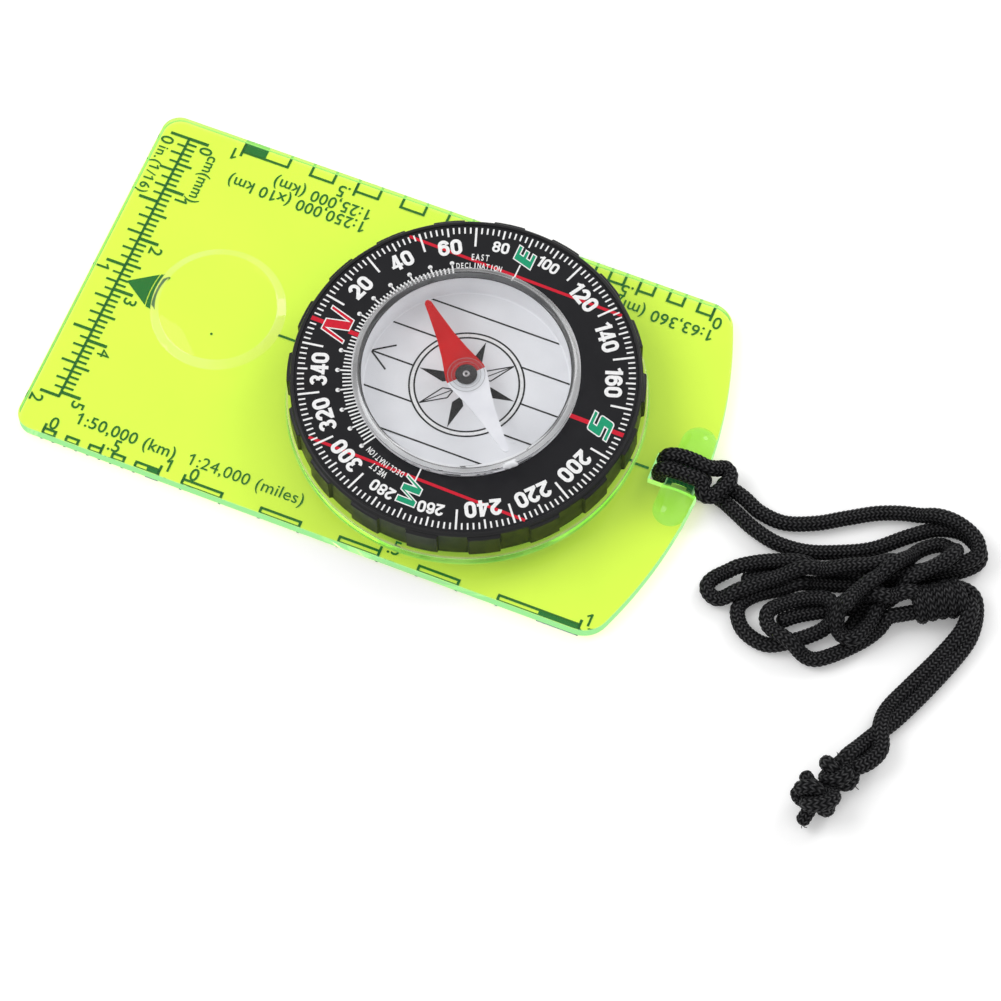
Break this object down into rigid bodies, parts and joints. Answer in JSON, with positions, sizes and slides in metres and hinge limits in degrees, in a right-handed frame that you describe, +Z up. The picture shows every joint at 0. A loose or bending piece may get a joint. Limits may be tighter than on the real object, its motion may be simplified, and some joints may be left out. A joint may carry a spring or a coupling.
{
  "type": "baseplate compass",
  "caption": "Clear rectangular map-reading plate with a turning degree bezel, a liquid capsule holding a magnetic needle, a moulded magnifier, edge scales and a braided lanyard.",
  "frame": {"origin": "the needle's pivot axis at the plane of the plate's underside", "axes": "+Y is the plate's direction of travel, from the needle towards the magnifier; +Z is up out of the plate; +X is to the right of the direction of travel"},
  "size_m": [0.0773, 0.1547, 0.0133],
  "materials": {
    "plate_acrylic": "clear fluorescent yellow-green, polished",
    "rubber": "matt",
    "cord": "braided polyester, matt",
    "bezel_plastic": "moulded, satin top and glossy sides",
    "dial_plastic": "printed satin",
    "spring_steel": "bright",
    "capsule_clear": "water clear, polished",
    "plug_plastic": "translucent",
    "pin_steel": "polished",
    "needle_paint": "gloss red north half and white south half",
    "hub_clear": "clear",
    "hub_black": "gloss",
    "brass": "turned",
    "jewel": "polished"
  },
  "bodies": {
    "plate": {"baseplate": "plate_acrylic", "drag_ring": "rubber", "lanyard_hitch": "cord"},
    "bezel": {"bezel_ring": "bezel_plastic", "dial_plate": "dial_plastic", "bezel_retainer": "spring_steel", "capsule_retainer": "spring_steel"},
    "capsule": {"capsule_cup": "capsule_clear", "capsule_window": "capsule_clear", "fill_plug": "plug_plastic", "pivot_pin": "pin_steel"},
    "needle": {"needle_blade": "needle_paint", "hub_disc": "hub_clear", "hub_cap": "hub_black", "hub_collar": "brass", "jewel_cup": "jewel"},
    "lanyard": {"lanyard_cord": "cord", "lanyard_tails": "cord", "stopper_knots": "cord"},
    "knot": {"slide_knot": "cord"}
  },
  "joints": [
    {"name": "bezel_turn", "type": "hinge", "parent": "plate", "child": "bezel", "pos_m": [0, 0, 0.0043], "axis": [0, 0, 1], "continuous": true},
    {"name": "declination_adjust", "type": "hinge", "parent": "bezel", "child": "capsule", "pos_m": [0, 0, 0.0029], "axis": [0, 0, 1], "range_deg": [-60, 60]},
    {"name": "needle_swing", "type": "hinge", "parent": "capsule", "child": "needle", "pos_m": [0, 0, 0.0087], "axis": [0, 0, 1], "continuous": true},
    {"name": "lanyard_lift", "type": "hinge", "parent": "plate", "child": "lanyard", "pos_m": [0, -0.0424, 0.0023], "axis": [-1, 0, 0], "range_deg": [-90, 90]},
    {"name": "knot_slide", "type": "slide", "parent": "lanyard", "child": "knot", "axis": [0.5349, -0.8449, 0], "range_m": [-0.002, 0]}
  ]
}
